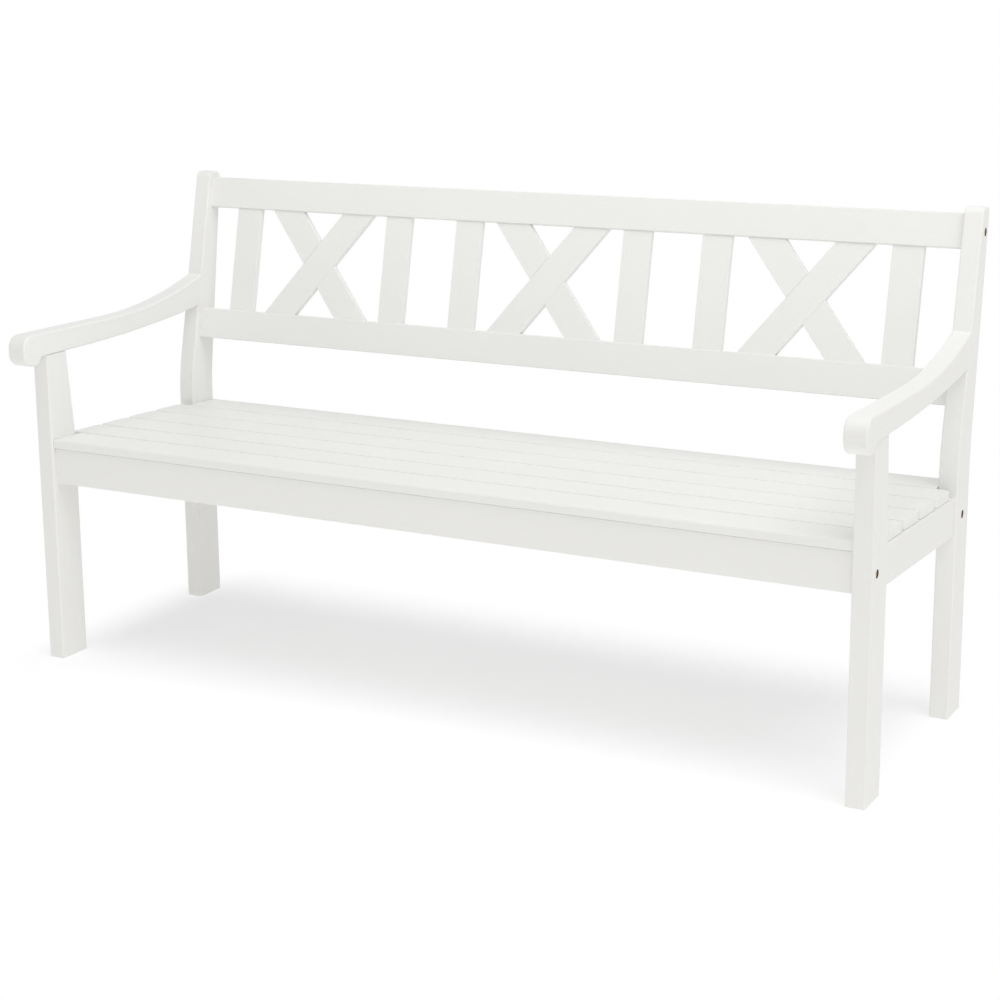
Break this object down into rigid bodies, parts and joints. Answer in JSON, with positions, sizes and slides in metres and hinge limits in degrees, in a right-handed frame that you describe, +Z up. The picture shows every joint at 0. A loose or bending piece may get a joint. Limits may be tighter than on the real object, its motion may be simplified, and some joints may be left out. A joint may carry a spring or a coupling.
{
  "type": "garden bench",
  "caption": "Long white-painted wooden garden bench with a slatted seat, scrolled armrests and a low back of upright slats and crossed braces between rails.",
  "frame": {"origin": "bottom centre of the whole bench, on the floor", "axes": "+X along the bench, to the right as seen from the front; +Y from front to back; +Z up"},
  "size_m": [1.693, 0.6586, 0.914],
  "materials": {
    "white_paint": "opaque white paint with a low sheen",
    "zinc_steel": "yellow zinc plating",
    "plain_beech": "bare wood"
  },
  "bodies": {
    "root": {"left_front_leg": "white_paint", "left_rear_post": "white_paint", "left_armrest": "white_paint", "left_side_rail": "white_paint", "left_seat_bearer": "white_paint", "left_end_bearer": "white_paint", "right_front_leg": "white_paint", "right_rear_post": "white_paint", "right_armrest": "white_paint", "right_side_rail": "white_paint", "right_seat_bearer": "white_paint", "right_end_bearer": "white_paint", "front_seat_rail": "white_paint", "rear_seat_rail": "white_paint", "back_top_rail": "white_paint", "back_lower_rail": "white_paint", "seat_slat_1": "white_paint", "seat_slat_2": "white_paint", "seat_slat_3": "white_paint", "seat_slat_4": "white_paint", "seat_slat_5": "white_paint", "seat_slat_6": "white_paint", "back_slat_1": "white_paint", "back_slat_2": "white_paint", "back_slat_3": "white_paint", "back_slat_4": "white_paint", "back_slat_5": "white_paint", "back_slat_6": "white_paint", "rising_brace_1": "white_paint", "falling_brace_1": "white_paint", "rising_brace_2": "white_paint", "falling_brace_2": "white_paint", "rising_brace_3": "white_paint", "falling_brace_3": "white_paint", "rail_bolts": "zinc_steel", "rail_washers": "zinc_steel", "barrel_nuts": "zinc_steel", "slat_screws": "zinc_steel", "bearer_screws": "zinc_steel", "rail_dowels": "plain_beech", "armrest_dowels": "plain_beech"}
  },
  "joints": []
}
